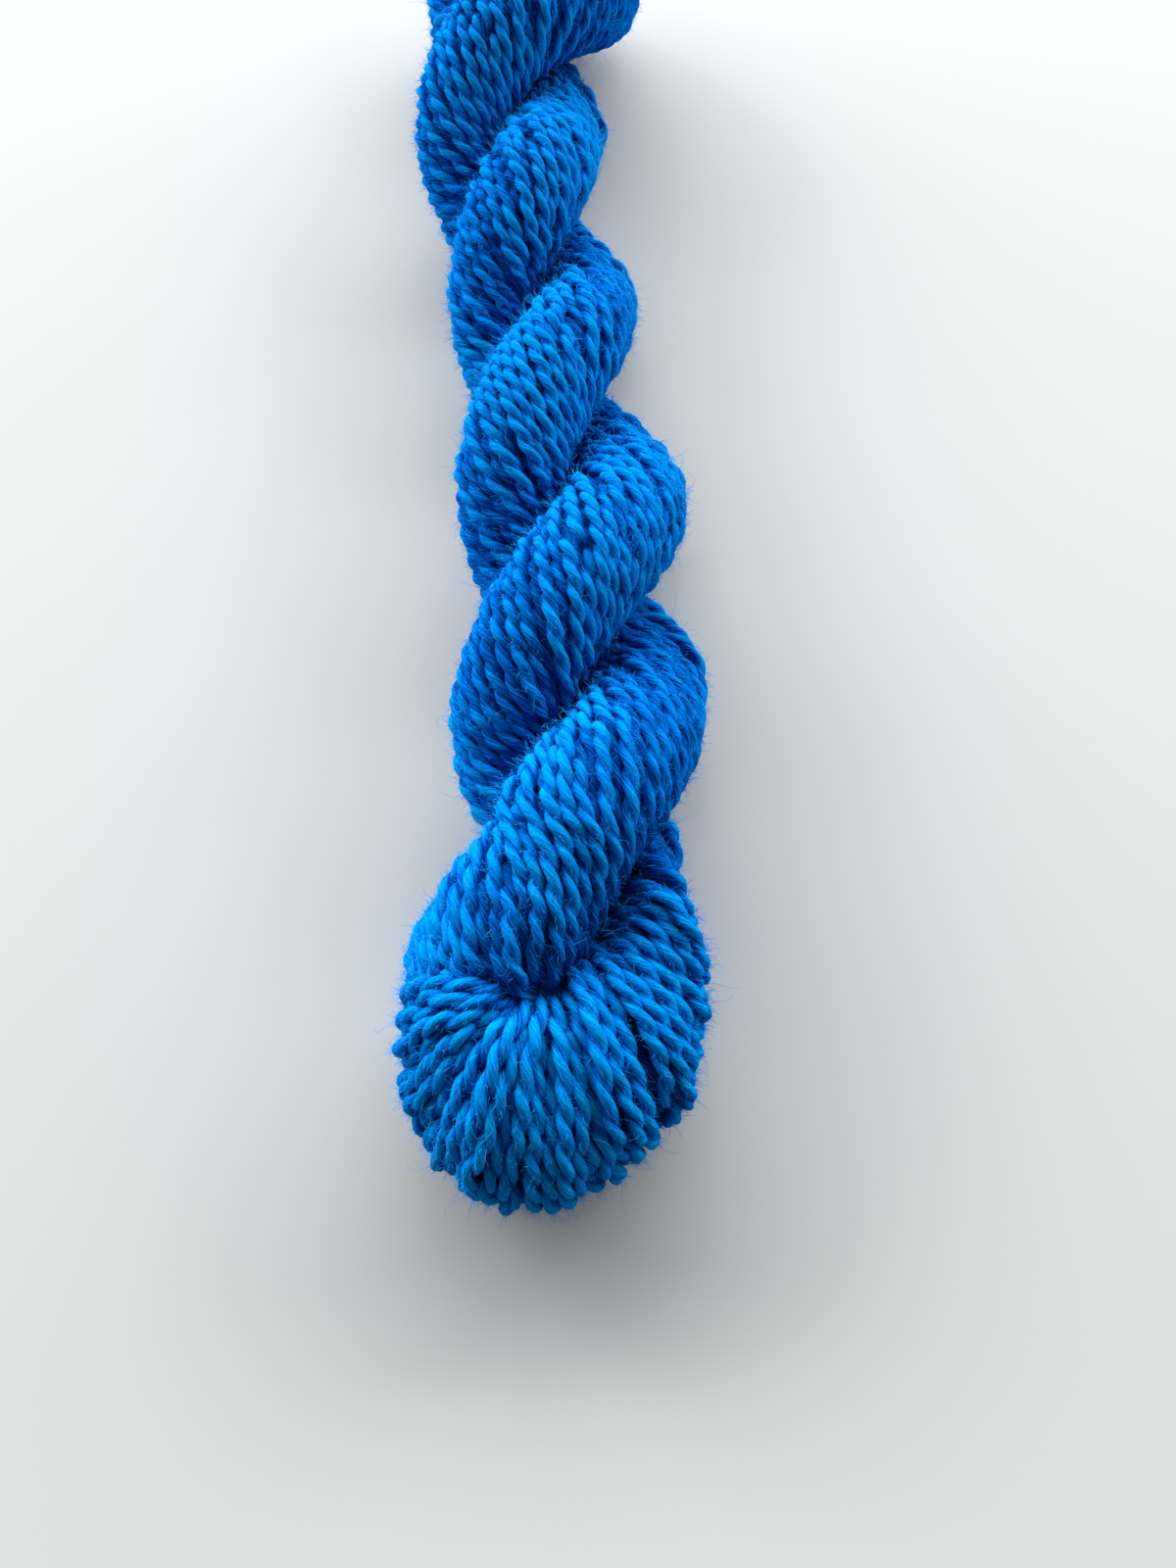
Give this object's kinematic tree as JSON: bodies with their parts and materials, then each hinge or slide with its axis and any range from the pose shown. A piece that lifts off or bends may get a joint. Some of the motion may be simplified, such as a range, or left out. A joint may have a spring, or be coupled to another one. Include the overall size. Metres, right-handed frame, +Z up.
{
  "type": "skein of yarn",
  "caption": "Skein of plied yarn: a hank twisted and folded into a rope of two plies, its near end spread into a ribbed rosette, lying flat.",
  "frame": {"origin": "middle of the skein's outline, on the surface it rests on", "axes": "+Y along the skein from the rosette towards the folded end, +Z up off the surface, +X across the skein"},
  "size_m": [0.051, 0.2582, 0.0353],
  "materials": {
    "dyed_wool_yarn": "soft lustrous plied yarn"
  },
  "bodies": {
    "root": {"skein": "dyed_wool_yarn"}
  },
  "joints": []
}
